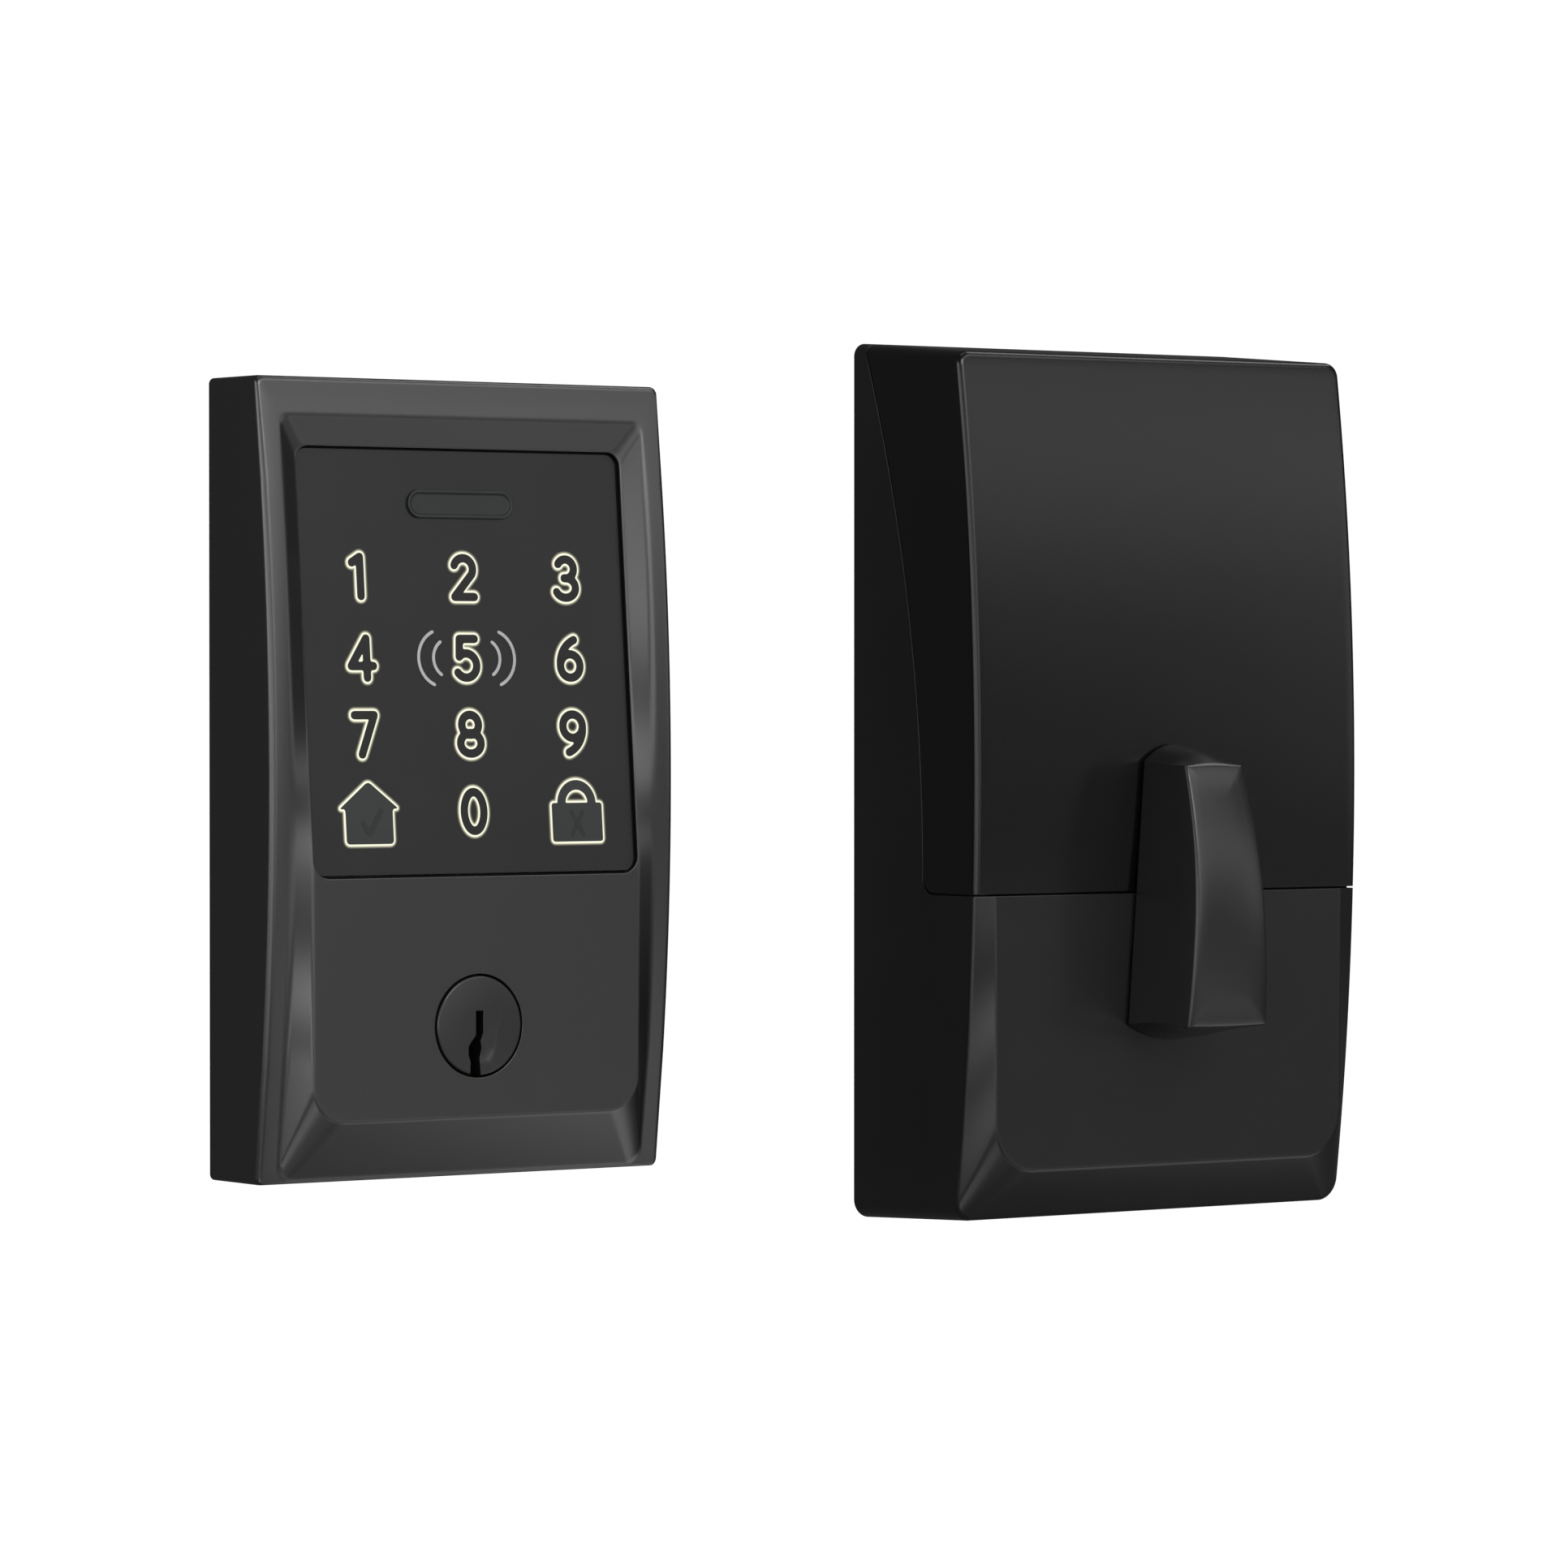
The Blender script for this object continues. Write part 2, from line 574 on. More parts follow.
def keypad(paints):
    """Touch panel with its plain badge bar, seal, light guide and circuit board."""
    glass = layer(
        "touch_panel",
        paints["panel"],
        EDGE_HALF_WIDTH + GLASS_OVERLAP,
        GLASS_BOTTOM + OPENING_INSET + GAP,
        EDGE_TOP + GLASS_OVERLAP,
        0.0,
        GLASS_THICKNESS,
    )
    middle = (GLASS_TOP + GLASS_BOTTOM) / 2
    low, high = middle - STACK_HALF_HEIGHT, middle + STACK_HALF_HEIGHT
    start = GLASS_THICKNESS + GAP
    layer(
        "keypad_gasket", paints["rubber"], STACK_HALF_WIDTH, low, high, start, LAYER_THICKNESS,
        hollow=GASKET_WIDTH,
    )
    inset = GASKET_WIDTH + GAP
    layer(
        "keypad_light_guide", paints["clear"], STACK_HALF_WIDTH - inset, low + inset, high - inset,
        start, LAYER_THICKNESS,
    )
    start += LAYER_THICKNESS + GAP
    layer("keypad_circuit_board", paints["board"], STACK_HALF_WIDTH, low, high, start, LAYER_THICKNESS)
    start += LAYER_THICKNESS + GAP
    layer(
        "keypad_connector",
        paints["nylon"],
        KEYPAD_CONNECTOR_HALF_WIDTH,
        KEYPAD_CONNECTOR_Z,
        KEYPAD_CONNECTOR_Z + KEYPAD_CONNECTOR_HEIGHT,
        start,
        KEYPAD_CONNECTOR_DEPTH,
    )
    bar = half_outline(
        BADGE_HALF_WIDTH,
        BADGE_Z - BADGE_HALF_HEIGHT,
        BADGE_Z + BADGE_HALF_HEIGHT,
        BADGE_HALF_HEIGHT,
        BADGE_HALF_HEIGHT,
        [],
    )
    bar_rings = [
        ring(bar, lambda z: glass_depth(z) + GAP),
        ring(bar, lambda z: glass_depth(z) + BADGE_HEIGHT_ABOVE_GLASS),
    ]
    loft("badge_bar", bar_rings, paints["case"])
    return glass


def key_cylinder(paints):
    """Fixed cylinder with its turning plug, retaining clip and tailpiece."""
    centre = (0.0, CYLINDER_Z)
    axis = Vector((0.0, 0.0, CYLINDER_Z))
    washer(
        "cylinder_housing",
        centre,
        (PLUG_HOLE_RADIUS, CYLINDER_RADIUS),
        (CYLINDER_BACK, CYLINDER_FRONT),
        paints["brass"],
    )
    profile = [
        (PLUG_TAIL_RADIUS, PLUG_BACK),
        (PLUG_TAIL_RADIUS, PLUG_SHOULDER),
        (PLUG_RADIUS, PLUG_SHOULDER),
        (PLUG_RADIUS, PLUG_FRONT - PLUG_BEVEL),
        (PLUG_RADIUS - PLUG_BEVEL, PLUG_FRONT),
    ]
    plug = turned("key_plug", profile, centre, paints["plug"], origin=axis)
    front = PLUG_FRONT + MM
    half = KEYWAY_WIDTH / 2
    slot_depths = (PLUG_FRONT - KEYWAY_DEPTH, front)
    upper = box(
        "keyway_upper", (-half, half), slot_depths, (CYLINDER_Z + KEYWAY_JOG, CYLINDER_Z + KEYWAY_TOP)
    )
    lower = box(
        "keyway_lower",
        (-half - KEYWAY_SHIFT, half - KEYWAY_SHIFT),
        slot_depths,
        (CYLINDER_Z - PLUG_RADIUS - MM, CYLINDER_Z + KEYWAY_JOG + KEYWAY_WIDTH),
    )
    combine(plug, upper, "DIFFERENCE")
    combine(plug, lower, "DIFFERENCE")

    clip_back = BACK_PLATE_FRONT + GAP
    clip = washer(
        "plug_retaining_clip",
        centre,
        (PLUG_TAIL_RADIUS + GAP, CLIP_RADIUS),
        (clip_back, CYLINDER_BACK - GAP),
        paints["steel"],
        origin=axis,
    )
    mouth = box(
        "clip_mouth",
        (-CLIP_MOUTH_HALF_WIDTH, CLIP_MOUTH_HALF_WIDTH),
        (0.0, PLUG_SHOULDER),
        (CYLINDER_Z - CLIP_RADIUS - MM, CYLINDER_Z),
    )
    combine(clip, mouth, "DIFFERENCE")

    tail = half_outline(
        TAILPIECE_HALF_WIDTH,
        -TAILPIECE_HALF_THICKNESS,
        TAILPIECE_HALF_THICKNESS,
        TAILPIECE_CORNER,
        TAILPIECE_CORNER,
        [],
    )
    rings = [
        ring(tail, lambda z, d=depth: d, base_z=CYLINDER_Z)
        for depth in (TAILPIECE_END, PLUG_BACK - GAP)
    ]
    loft("tailpiece", rings, paints["steel"], origin=axis)


def exterior_back(paints):
    """Back plate, door gasket, bolt posts and screws of the exterior unit."""
    half = half_outline(
        BACK_HALF_WIDTH, -BACK_HALF_HEIGHT, BACK_HALF_HEIGHT, PLATE_CORNER, PLATE_CORNER, []
    )
    back_plate = plate("exterior_back_plate", half, BACK_PLATE_BACK, BACK_PLATE_FRONT, paints["zinc"])
    gasket = plate("exterior_door_gasket", half, 0.0, DOOR_GASKET_THICKNESS, paints["rubber"])
    posts = [(-POST_SPACING, CYLINDER_Z), (POST_SPACING, CYLINDER_Z)]
    through = (-MM, BACK_PLATE_FRONT + MM)
    cable = (
        (-CABLE_HALF_WIDTH, CABLE_HALF_WIDTH),
        through,
        (EXT_CABLE_Z - CABLE_HALF_HEIGHT, EXT_CABLE_Z + CABLE_HALF_HEIGHT),
    )
    slot = box("ext_cable_slot", *cable)
    tail_hole = rods("ext_tail_hole", [(0.0, CYLINDER_Z)], TAIL_HOLE_RADIUS, through, 32)
    plate_holes = rods("ext_plate_screw_holes", screw_places(), SCREW_HOLE_RADIUS, through, 12)
    for cutter in (slot, tail_hole, plate_holes):
        combine(back_plate, cutter, "DIFFERENCE")
    head_holes = rods(
        "ext_gasket_screw_holes", screw_places(), SCREW_HEAD_RADIUS + GAP, through, 16
    )
    post_holes = rods("ext_gasket_post_holes", posts, POST_RADIUS + GAP, through, 20)
    for cutter in (slot, tail_hole, head_holes, post_holes):
        combine(gasket, cutter, "DIFFERENCE")

    for side, centre in zip(("left", "right"), posts):
        post = turned(
            "bolt_post_" + side,
            [(POST_RADIUS, POST_END), (POST_RADIUS, DOOR_GASKET_THICKNESS)],
            centre,
            paints["steel"],
            segments=20,
        )
        depths = (POST_END - MM, POST_THREAD_STOP)
        thread = rods("post_thread_" + side, [centre], POST_THREAD_RADIUS, depths)
        combine(post, thread, "DIFFERENCE")

    heads = (GAP, DOOR_GASKET_THICKNESS)
    for number, (x, z) in enumerate(screw_places(), 1):
        screw("back_plate_screw_%d" % number, x, z, heads, EXT_SCREW_TIP, paints["steel"])


# ---------------------------------------------------------------------------------------------------
# Interior unit; z in the outlines below is the height above the unit's bottom


def int_arc(z):
    """Depth of the interior unit's arched front."""
    return INT_DEPTH - INT_CURVE * (z - INT_CREST) ** 2


def int_levels():
    """Heights of the points along the interior unit's sides."""
    return spread(*INT_LEVEL_SPAN, INT_SIDE_LEVELS)


def int_half(inset, bottom_inset, top_inset, bottom_radius=INT_BOTTOM_RADIUS, top_radius=INT_TOP_RADIUS):
    """Half outline of the interior unit, moved inwards."""
    return half_outline(
        INT_HALF_WIDTH - inset,
        bottom_inset,
        INT_HEIGHT - top_inset,
        bottom_radius,
        top_radius,
        int_levels(),
    )


def int_ring(half, depth_at):
    """A ring on the interior unit."""
    return ring(half, depth_at, INT_X, INT_BOTTOM)


def cover_zone(name, offset):
    """Guide solid over the battery cover, bounded by the seam; offset moves it forwards and up."""
    corner = []
    for angle in spread(-math.pi / 2, -math.pi, 5):
        depth = SEAM_DEPTH + SEAM_CORNER + SEAM_CORNER * math.cos(angle)
        corner.append((depth, SEAM_HEIGHT + SEAM_CORNER + SEAM_CORNER * math.sin(angle)))
    side = []
    for height in spread(SEAM_START, INT_HEIGHT + 2 * MM, 12):
        side.append((SEAM_DEPTH - SEAM_CURVE * (height - SEAM_START) ** 2, height))
    far = LEVER_DEPTH
    outline = [(far, SEAM_HEIGHT)] + corner + side + [(far, INT_HEIGHT + 2 * MM)]
    count = len(outline)
    reach = INT_HALF_WIDTH + 2 * MM
    vertices = []
    for x in (INT_X - reach, INT_X + reach):
        vertices += [(x, -depth - offset, INT_BOTTOM + height + offset) for depth, height in outline]
    faces = [tuple(range(count)), tuple(range(count, 2 * count))]
    faces += [(i, (i + 1) % count, count + (i + 1) % count, count + i) for i in range(count)]
    return new_object(name, vertices, faces)


def interior_housing(paint):
    """Casing of the interior unit: lower front, side walls and top, open behind the battery cover."""
    edge = int_half(0.0, INT_BOTTOM_DRAFT, INT_TOP_DRAFT)
    face = int_half(FACE_INSET, FACE_BOTTOM, FACE_BOTTOM, FACE_RADIUS, INT_TOP_RADIUS)
    rings = [
        int_ring(int_half(0.0, 0.0, 0.0), lambda z: INT_BACK),
        int_ring(edge, lambda z: int_arc(z) - GAP),
        int_ring(face, lambda z: FACE_DEPTH),
    ]
    body = loft("interior_housing", rings, paint, smooth=25.0)
    combine(body, cover_zone("housing_cover_zone", -SEAM), "DIFFERENCE", "MANIFOLD")

    wall = int_half(INT_WALL, INT_WALL + GAP, INT_FRONT_WALL + GAP)
    wall_front = int_half(INT_WALL, INT_WALL + INT_BOTTOM_DRAFT, INT_FRONT_WALL + INT_TOP_DRAFT)
    ceiling = int_half(FACE_INSET + GAP, FACE_BOTTOM, FACE_BOTTOM, FACE_RADIUS, INT_TOP_RADIUS)
    cavity_rings = [
        int_ring(wall, lambda z: -GAP),
        int_ring(wall_front, lambda z: int_arc(z) - INT_FRONT_WALL - MM),
        int_ring(ceiling, lambda z: FACE_DEPTH - INT_FRONT_WALL),
    ]
    combine(body, loft("housing_cavity", cavity_rings), "DIFFERENCE", "MANIFOLD")

    pivot = pivot_centre()
    hub_hole = rods("housing_hub_hole", [pivot], HUB_HOLE_RADIUS, (HUB_HOLE_BACK, FACE_DEPTH + MM), 32)
    combine(body, hub_hole, "DIFFERENCE", "MANIFOLD")

    bosses = [(INT_X + x, INT_BOTTOM + z) for x, z in GEAR_PLATE_SCREWS]
    pillar_depths = (GEAR_PLATE_FRONT + GAP, FACE_DEPTH - MM)
    pillars = rods("housing_bosses", bosses, PILLAR_RADIUS, pillar_depths, 16)
    combine(body, pillars, "UNION", "MANIFOLD")
    hole_depths = (GEAR_PLATE_BACK, PILLAR_HOLE_END)
    screw_holes = rods("housing_boss_holes", bosses, SCREW_HOLE_RADIUS, hole_depths, 12)
    combine(body, screw_holes, "DIFFERENCE", "MANIFOLD")

    for side in (-1, 1):
        inner_x = INT_X + side * TAB_INNER_X
        outer_x = INT_X + side * (INT_HALF_WIDTH - MM)
        tab = box(
            "housing_tab_%d" % side,
            (min(inner_x, outer_x), max(inner_x, outer_x)),
            (TAB_BACK, TAB_FRONT),
            (
                INT_BOTTOM + TAB_HEIGHT - TAB_HALF_HEIGHT,
                INT_BOTTOM + TAB_HEIGHT + TAB_HALF_HEIGHT,
            ),
        )
        combine(body, tab, "UNION", "MANIFOLD")
    tab_depths = (0.0, TAB_HOLE_END)
    tab_holes = rods("housing_tab_holes", tab_places(), SCREW_HOLE_RADIUS, tab_depths, 12)
    combine(body, tab_holes, "DIFFERENCE", "MANIFOLD")
    return body


def tab_places():
    """Centres of the two screws that hold the housing to its plate."""
    return [(INT_X + side * TAB_X, INT_BOTTOM + TAB_HEIGHT) for side in (-1, 1)]


def pivot_centre():
    """Thumbturn axis in x and z."""
    return (INT_X, INT_BOTTOM + PIVOT_HEIGHT)


def battery_cover(paint):
    """Cover over the batteries: front, side walls and top, open below and behind."""
    bevel = INT_FILLET * (1 - math.cos(math.pi / 4))

    def front_half(inset):
        return int_half(inset, INT_BOTTOM_DRAFT + inset, INT_TOP_DRAFT + inset)

    rings = [
        int_ring(int_half(0.0, 0.0, 0.0), lambda z: INT_BACK),
        int_ring(front_half(0.0), lambda z: int_arc(z) - INT_FILLET),
        int_ring(front_half(bevel), lambda z: int_arc(z) - bevel),
        int_ring(front_half(INT_FILLET), int_arc),
    ]
    cover = loft("battery_cover", rings, paint, smooth=25.0)
    combine(cover, cover_zone("cover_zone", SEAM), "INTERSECT")
    wall = int_half(
        INT_WALL, INT_FRONT_WALL, INT_FRONT_WALL + GAP, INT_TOP_RADIUS, COVER_INNER_RADIUS
    )
    inner = int_half(
        INT_WALL + COVER_INNER_DRAFT,
        INT_FRONT_WALL,
        INT_FRONT_WALL + INT_TOP_DRAFT,
        INT_TOP_RADIUS,
        COVER_INNER_RADIUS,
    )
    cavity_rings = [
        int_ring(wall, lambda z: -GAP),
        int_ring(inner, lambda z: int_arc(z) - INT_FRONT_WALL),
    ]
    combine(cover, loft("cover_cavity", cavity_rings), "DIFFERENCE")
    return cover


def lever_half(span, half_widths, bulge):
    """Half outline of the thumbturn lever: wider at the bottom, with arched ends."""
    bottom, top = span
    wide, narrow = half_widths
    low, high = bottom + bulge, top - bulge
    outline = [(wide * share, bottom + bulge * share**2) for share in spread(0.1, 1.0, LEVER_END_STEPS)]
    for share in spread(0.0, 1.0, LEVER_SIDE_LEVELS + 2)[1:-1]:
        outline.append((wide + (narrow - wide) * share, low + (high - low) * share))
    for share in spread(1.0, 0.1, LEVER_END_STEPS):
        outline.append((narrow * share, top - bulge * share**2))
    return outline


def lever_arc(z):
    """Depth of the lever's arched front."""
    curve = LEVER_CURVE_ABOVE if z > LEVER_CREST else LEVER_CURVE_BELOW
    return LEVER_DEPTH - curve * (z - LEVER_CREST) ** 2


def thumbturn(paint):
    """Tapered lever and the collar behind it that turns in the housing."""
    x, z = pivot_centre()
    axis = Vector((x, 0.0, z))
    base = lever_half(LEVER_BASE_SPAN, LEVER_BASE_HALF_WIDTHS, LEVER_BASE_BULGE)
    waist = lever_half(LEVER_WAIST_SPAN, LEVER_WAIST_HALF_WIDTHS, LEVER_WAIST_BULGE)
    shoulder = lever_half(LEVER_FRONT_SPAN, LEVER_FRONT_HALF_WIDTHS, LEVER_FRONT_BULGE)
    low, high = LEVER_FRONT_SPAN
    wide, narrow = LEVER_FRONT_HALF_WIDTHS
    crown = lever_half(
        (low + LEVER_FILLET, high - LEVER_FILLET),
        (wide - LEVER_FILLET, narrow - LEVER_FILLET),
        LEVER_FRONT_BULGE,
    )
    rings = [
        int_ring(base, lambda h: LEVER_BACK),
        int_ring(waist, lambda h: LEVER_WAIST),
        int_ring(shoulder, lambda h: lever_arc(h) - LEVER_FILLET),
        int_ring(crown, lever_arc),
    ]
    lever = loft("thumbturn", rings, paint, axis, smooth=25.0)
    reach = (LEVER_BACK - MM, LEVER_BACK + HUB_SOCKET_DEPTH)
    socket = rods("thumbturn_socket", [(x, z)], HUB_SOCKET_RADIUS, reach)
    combine(lever, socket, "DIFFERENCE")
    collar_depths = (HUB_BACK, LEVER_BACK - GAP)
    radii = (HUB_SOCKET_RADIUS, HUB_RADIUS)
    washer("thumbturn_collar", (x, z), radii, collar_depths, paint, 36, origin=axis)


def gear_ring(teeth, centre, depth, phase, radius=None):
    """A loop of points round a gear, four to a tooth, or round its bore when a radius is given."""
    pitch_radius = GEAR_MODULE * teeth / 2
    tip, root = pitch_radius + 0.75 * GEAR_MODULE, pitch_radius - 1.15 * GEAR_MODULE
    step = 2 * math.pi / teeth
    points = []
    for tooth in range(teeth):
        for share, level in ((-0.30, root), (-0.11, tip), (0.11, tip), (0.30, root)):
            angle = phase + (tooth + share) * step
            r = level if radius is None else radius
            points.append((centre[0] + r * math.cos(angle), -depth, centre[1] + r * math.sin(angle)))
    return points


def gear(name, teeth, centre, phase, bore, paint):
    """A spur gear with a round bore."""
    loops = [
        gear_ring(teeth, centre, GEAR_BACK, phase),
        gear_ring(teeth, centre, GEAR_FRONT, phase),
        gear_ring(teeth, centre, GEAR_FRONT, phase, bore),
        gear_ring(teeth, centre, GEAR_BACK, phase, bore),
    ]
    count = 4 * teeth
    vertices = [point for loop in loops for point in loop]
    faces = []
    for level in range(4):
        low, high = level * count, (level + 1) % 4 * count
        faces += [(low + i - 1, low + i, high + i, high + i - 1) for i in range(1, count)]
        faces.append((low + count - 1, low, high, high + count - 1))
    return new_object(name, vertices, faces, paint, Vector((centre[0], 0.0, centre[1])))


def motor_centre():
    """Motor axis in x and z, one gear-centre distance from the thumbturn axis."""
    distance = GEAR_MODULE * (GEAR_TEETH + PINION_TEETH) / 2
    x, z = pivot_centre()
    return (x + distance * math.cos(MOTOR_ANGLE), z + distance * math.sin(MOTOR_ANGLE))


def drive_train(paints):
    """Spindle, gears, motor and the plate that carries them."""
    pivot = pivot_centre()
    axis = Vector((pivot[0], 0.0, pivot[1]))
    spindle = turned(
        "thumbturn_spindle",
        [
            (SPINDLE_RADIUS, SPINDLE_BACK),
            (SPINDLE_RADIUS, HUB_BACK - GAP),
            (SPINDLE_NECK_RADIUS, HUB_BACK - GAP),
            (SPINDLE_NECK_RADIUS, LEVER_BACK + HUB_SOCKET_DEPTH - GAP),
        ],
        pivot,
        paints["steel"],
        segments=24,
        origin=axis,
    )
    socket = box(
        "spindle_socket",
        (pivot[0] - SOCKET_HALF_WIDTH, pivot[0] + SOCKET_HALF_WIDTH),
        (-MM, SOCKET_DEPTH),
        (pivot[1] - SOCKET_HALF_THICKNESS, pivot[1] + SOCKET_HALF_THICKNESS),
    )
    combine(spindle, socket, "DIFFERENCE")
    gear("spindle_gear", GEAR_TEETH, pivot, MOTOR_ANGLE, SPINDLE_RADIUS + GAP, paints["nylon"])
    clip = washer(
        "spindle_clip",
        pivot,
        (SPINDLE_RADIUS + GAP, SPINDLE_CLIP_RADIUS),
        (SPINDLE_CLIP_BACK, GEAR_BACK - GAP),
        paints["steel"],
        24,
        origin=axis,
    )
    mouth = box(
        "spindle_clip_mouth",
        (pivot[0] - CLIP_MOUTH_HALF_WIDTH, pivot[0] + CLIP_MOUTH_HALF_WIDTH),
        (SPINDLE_CLIP_BACK - MM, GEAR_BACK),
        (pivot[1] - SPINDLE_CLIP_RADIUS - MM, pivot[1]),
    )
    combine(clip, mouth, "DIFFERENCE")
    washer(
        "spindle_bushing",
        pivot,
        (BUSHING_INNER_RADIUS, BUSHING_OUTER_RADIUS),
        (INT_BACK, BUSHING_FRONT),
        paints["nylon"],
        24,
    )

    motor = motor_centre()
    half_tooth = math.pi / PINION_TEETH
    pinion_phase = MOTOR_ANGLE + math.pi + half_tooth
    gear("motor_pinion", PINION_TEETH, motor, pinion_phase, PINION_BORE_RADIUS, paints["brass"])
    motor_axis = Vector((motor[0], 0.0, motor[1]))
    shaft = [(SHAFT_RADIUS, SHAFT_BACK), (SHAFT_RADIUS, MOTOR_BACK - GAP)]
    turned("motor_shaft", shaft, motor, paints["steel"], segments=12, origin=motor_axis)
    can = [
        (MOTOR_RADIUS - MM, MOTOR_BACK),
        (MOTOR_RADIUS, MOTOR_BACK + MM),
        (MOTOR_RADIUS, MOTOR_FRONT - 2 * MM),
        (MOTOR_RADIUS - MM, MOTOR_FRONT - MM),
        (MOTOR_NECK_RADIUS, MOTOR_FRONT - MM),
        (MOTOR_NECK_RADIUS, MOTOR_FRONT),
    ]
    turned("gear_motor", can, motor, paints["steel"], segments=28)

    half = half_outline(
        GEAR_PLATE_HALF_WIDTH, GEAR_PLATE_BOTTOM, GEAR_PLATE_TOP, PLATE_CORNER, PLATE_CORNER, []
    )
    carrier = plate(
        "gear_plate", half, GEAR_PLATE_BACK, GEAR_PLATE_FRONT, paints["zinc"], INT_X, INT_BOTTOM
    )
    through = (GEAR_PLATE_BACK - MM, GEAR_PLATE_FRONT + MM)
    places = [(INT_X + x, INT_BOTTOM + z) for x, z in GEAR_PLATE_SCREWS]
    for name, centres, radius in (
        ("gear_plate_spindle_hole", [pivot], SPINDLE_HOLE_RADIUS),
        ("gear_plate_shaft_hole", [motor], SHAFT_HOLE_RADIUS),
        ("gear_plate_screw_holes", places, SCREW_HOLE_RADIUS),
    ):
        combine(carrier, rods(name, centres, radius, through), "DIFFERENCE")
    heads = (GEAR_SCREW_HEAD_BACK, GEAR_PLATE_BACK - GAP)
    for number, (x, z) in enumerate(places, 1):
        screw("gear_plate_screw_%d" % number, x, z, heads, GEAR_SCREW_TIP, paints["steel"])
    box(
        "position_switch",
        [INT_X + x for x in POSITION_SWITCH_X],
        (POSITION_SWITCH_BACK, GEAR_PLATE_BACK - GAP),
        [INT_BOTTOM + z for z in POSITION_SWITCH_SPAN],
        paints["case"],
    )


def battery_xs():
    """Centre lines of the batteries."""
    first = INT_X - BATTERY_PITCH * (BATTERY_COUNT - 1) / 2
    return [first + BATTERY_PITCH * i for i in range(BATTERY_COUNT)]


def coil(name, x, low, high, paint):
    """A small helical contact spring standing on a battery's end."""
    curve = bpy.data.curves.new(name, "CURVE")
    curve.dimensions = "3D"
    curve.bevel_depth = SPRING_WIRE_RADIUS
    curve.bevel_resolution = 0
    curve.resolution_u = 1
    curve.render_resolution_u = 0
    curve.use_fill_caps = True
    spline = curve.splines.new("POLY")
    spline.points.add(SPRING_STEPS)
    for i in range(SPRING_STEPS + 1):
        share = i / SPRING_STEPS
        angle = 2 * math.pi * SPRING_TURNS * share
        radius = SPRING_FOOT_RADIUS + (SPRING_TIP_RADIUS - SPRING_FOOT_RADIUS) * share
        height = low + (high - low) * share
        spline.points[i].co = (
            x + radius * math.cos(angle), -BATTERY_DEPTH + radius * math.sin(angle), height, 1.0
        )
    curve.materials.append(paint)
    obj = bpy.data.objects.new(name, curve)
    bpy.context.collection.objects.link(obj)
    return obj


def battery_contact(number, x, span, paints):
    """Contact plate on the tray's end wall, with a bump that reaches the cell."""
    wall, cell = span
    toward = math.copysign(CONTACT_THICKNESS, cell - wall)
    half, bump_half = CONTACT_HALF_WIDTH, CONTACT_BUMP_HALF_WIDTH
    name = "battery_contact_%d" % number
    leaf = box(
        name,
        (x - half, x + half),
        (BATTERY_DEPTH - half, BATTERY_DEPTH + bump_half),
        sorted((wall, wall + toward)),
        paints["nickel"],
    )
    bump = box(
        name + "_bump",
        (x - bump_half, x + bump_half),
        (BATTERY_DEPTH - bump_half, BATTERY_DEPTH + bump_half / 2),
        sorted((wall + toward / 2, cell)),
    )
    combine(leaf, bump, "UNION")


def battery_pack(paints):
    """Tray with its cells, springs and contact plates."""
    tray = box(
        "battery_tray",
        (INT_X - TRAY_HALF_WIDTH, INT_X + TRAY_HALF_WIDTH),
        (TRAY_BACK, TRAY_FRONT),
        (INT_BOTTOM + TRAY_BOTTOM, INT_BOTTOM + TRAY_TOP),
        paints["case"],
    )
    low = INT_BOTTOM + TRAY_BOTTOM + TRAY_WALL
    high = INT_BOTTOM + TRAY_TOP - TRAY_WALL
    bottom = INT_BOTTOM + BATTERY_BOTTOM
    shoulder = BATTERY_LENGTH - BATTERY_NUB_HEIGHT
    for number, x in enumerate(battery_xs(), 1):
        centre = (x, -BATTERY_DEPTH)
        trough = turned(
            "trough_%d" % number, [(TROUGH_RADIUS, low), (TROUGH_RADIUS, high)], centre,
            segments=24, along_z=True,
        )
        combine(tray, trough, "DIFFERENCE")
        upwards = number % 2 == 1
        outline = [
            (BATTERY_RADIUS - BATTERY_BEVEL, 0.0),
            (BATTERY_RADIUS, BATTERY_BEVEL),
            (BATTERY_RADIUS, shoulder - BATTERY_BEVEL),
            (BATTERY_RADIUS - BATTERY_BEVEL, shoulder),
            (BATTERY_NUB_RADIUS, shoulder),
            (BATTERY_NUB_RADIUS, BATTERY_LENGTH),
        ]
        if upwards:
            profile = [(radius, bottom + height) for radius, height in outline]
        else:
            profile = [(radius, bottom + BATTERY_LENGTH - height) for radius, height in outline]
        turned("battery_%d" % number, profile, centre, paints["battery"], 24, along_z=True)
        top = bottom + BATTERY_LENGTH
        below = (low + SPRING_CLEARANCE, bottom - SPRING_CLEARANCE)
        above = (high - SPRING_CLEARANCE, top + SPRING_CLEARANCE)
        spring_span = below if upwards else above
        coil("battery_spring_%d" % number, x, spring_span[0], spring_span[1], paints["nickel"])
        contact_span = (high - GAP, top + GAP) if upwards else (low + GAP, bottom - GAP)
        battery_contact(number, x, contact_span, paints)


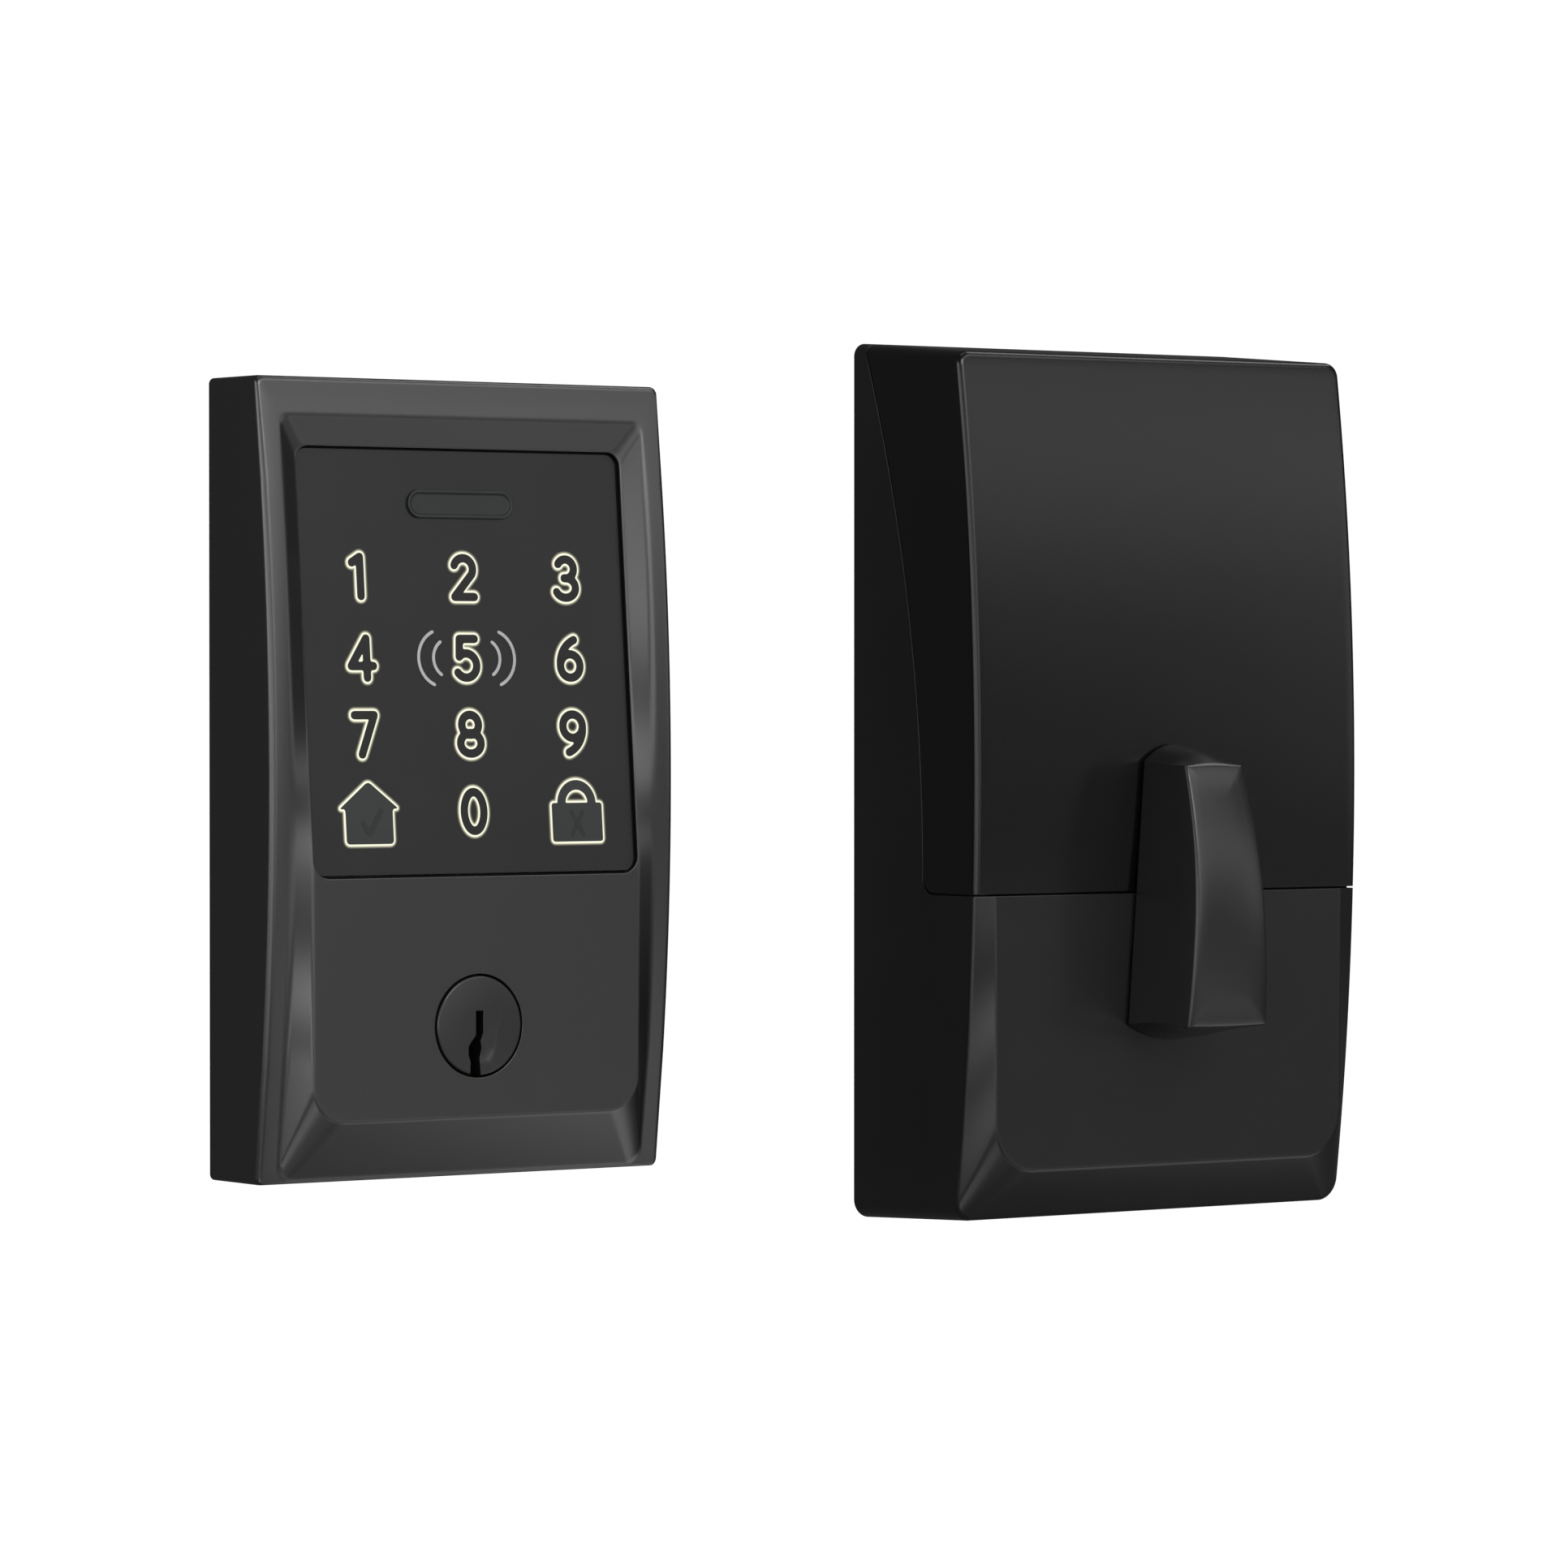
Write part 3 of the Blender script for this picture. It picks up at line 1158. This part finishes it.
def interior_plate(paints):
    """Steel plate that bolts to the door behind the interior unit, and the housing's two screws."""
    inset = INT_WALL + COVER_INNER_DRAFT
    half = int_half(inset, INT_WALL + 2 * GAP, INT_FRONT_WALL + 2 * GAP)
    support = plate(
        "interior_support_plate", half, 0.0, SUPPORT_THICKNESS, paints["zinc"], INT_X, INT_BOTTOM
    )
    through = (-MM, SUPPORT_THICKNESS + MM)
    pivot = pivot_centre()
    bolts = [(pivot[0] - POST_SPACING, pivot[1]), (pivot[0] + POST_SPACING, pivot[1])]
    for name, centres, radius, segments in (
        ("support_spindle_hole", [pivot], SUPPORT_SPINDLE_HOLE_RADIUS, 32),
        ("support_bolt_holes", bolts, SUPPORT_BOLT_HOLE_RADIUS, 20),
        ("support_tab_holes", tab_places(), SCREW_HOLE_RADIUS, 12),
    ):
        combine(support, rods(name, centres, radius, through, segments), "DIFFERENCE")
    slot = box(
        "support_cable_slot",
        (INT_X - CABLE_HALF_WIDTH, INT_X + CABLE_HALF_WIDTH),
        through,
        (
            INT_BOTTOM + INT_CABLE_HEIGHT - CABLE_HALF_HEIGHT,
            INT_BOTTOM + INT_CABLE_HEIGHT + CABLE_HALF_HEIGHT,
        ),
    )
    combine(support, slot, "DIFFERENCE")
    heads = (TAB_SCREW_HEAD_FRONT, TAB_FRONT + GAP)
    for side, (x, z) in zip(("left", "right"), tab_places()):
        screw("housing_screw_" + side, x, z, heads, GAP, paints["steel"])


def electronics(paints):
    """Control board with its connector, sounder and programming button."""
    box(
        "control_circuit_board",
        (INT_X - BOARD_HALF_WIDTH, INT_X + BOARD_HALF_WIDTH),
        (BOARD_BACK, BOARD_FRONT),
        (INT_BOTTOM + BOARD_BOTTOM, INT_BOTTOM + BOARD_TOP),
        paints["board"],
    )
    base = INT_BOTTOM + BUTTON_HEIGHT
    box(
        "board_connector",
        (INT_X - BOARD_CONNECTOR_HALF_WIDTH, INT_X + BOARD_CONNECTOR_HALF_WIDTH),
        (PART_BACK, BOARD_CONNECTOR_FRONT),
        (base - BOARD_CONNECTOR_HALF_HEIGHT, base + BOARD_CONNECTOR_HALF_HEIGHT),
        paints["nylon"],
    )
    sounder = [(SOUNDER_RADIUS, PART_BACK), (SOUNDER_RADIUS, SOUNDER_FRONT)]
    turned("sounder", sounder, (INT_X + SOUNDER_X, base), paints["case"], segments=24)
    x = INT_X + BUTTON_X
    box(
        "program_switch",
        (x - SWITCH_HALF_WIDTH, x + SWITCH_HALF_WIDTH),
        (PART_BACK, SWITCH_FRONT),
        (base - SWITCH_HALF_WIDTH, base + SWITCH_HALF_WIDTH),
        paints["case"],
    )
    cap = [
        (BUTTON_RADIUS, BUTTON_BACK),
        (BUTTON_RADIUS, BUTTON_SHOULDER),
        (BUTTON_TIP_RADIUS, BUTTON_TIP),
    ]
    axis = Vector((x, -BUTTON_BACK, base))
    turned("program_button", cap, (x, base), paints["rubber"], 20, origin=axis)


def main():
    """Build every piece of both units."""
    clear_scene()
    paints = {
        "case": material("matte_black_case", (0.020, 0.020, 0.021), 0.55),
        "panel": material("touch_panel_black", (0.016, 0.016, 0.017), 0.42),
        "plug": material("black_plug", (0.022, 0.022, 0.023), 0.45, 0.6),
        "brass": material("brass", (0.62, 0.45, 0.18), 0.35, 1.0),
        "steel": material("steel", (0.52, 0.52, 0.54), 0.35, 1.0),
        "zinc": material("zinc_plate", (0.60, 0.61, 0.62), 0.45, 1.0),
        "nickel": material("nickel_contact", (0.66, 0.63, 0.58), 0.25, 1.0),
        "rubber": material("black_rubber", (0.024, 0.024, 0.024), 0.85),
        "clear": material("light_guide_clear", (0.80, 0.82, 0.84), 0.15),
        "board": material("circuit_board_green", (0.015, 0.12, 0.05), 0.5),
        "nylon": material("white_nylon", (0.72, 0.72, 0.68), 0.5),
        "battery": material("battery_sleeve", (0.03, 0.03, 0.035), 0.35),
    }
    escutcheon(paints["case"])
    keypad(paints)
    key_cylinder(paints)
    exterior_back(paints)
    interior_housing(paints["case"])
    battery_cover(paints["case"])
    thumbturn(paints["case"])
    drive_train(paints)
    battery_pack(paints)
    interior_plate(paints)
    electronics(paints)


main()
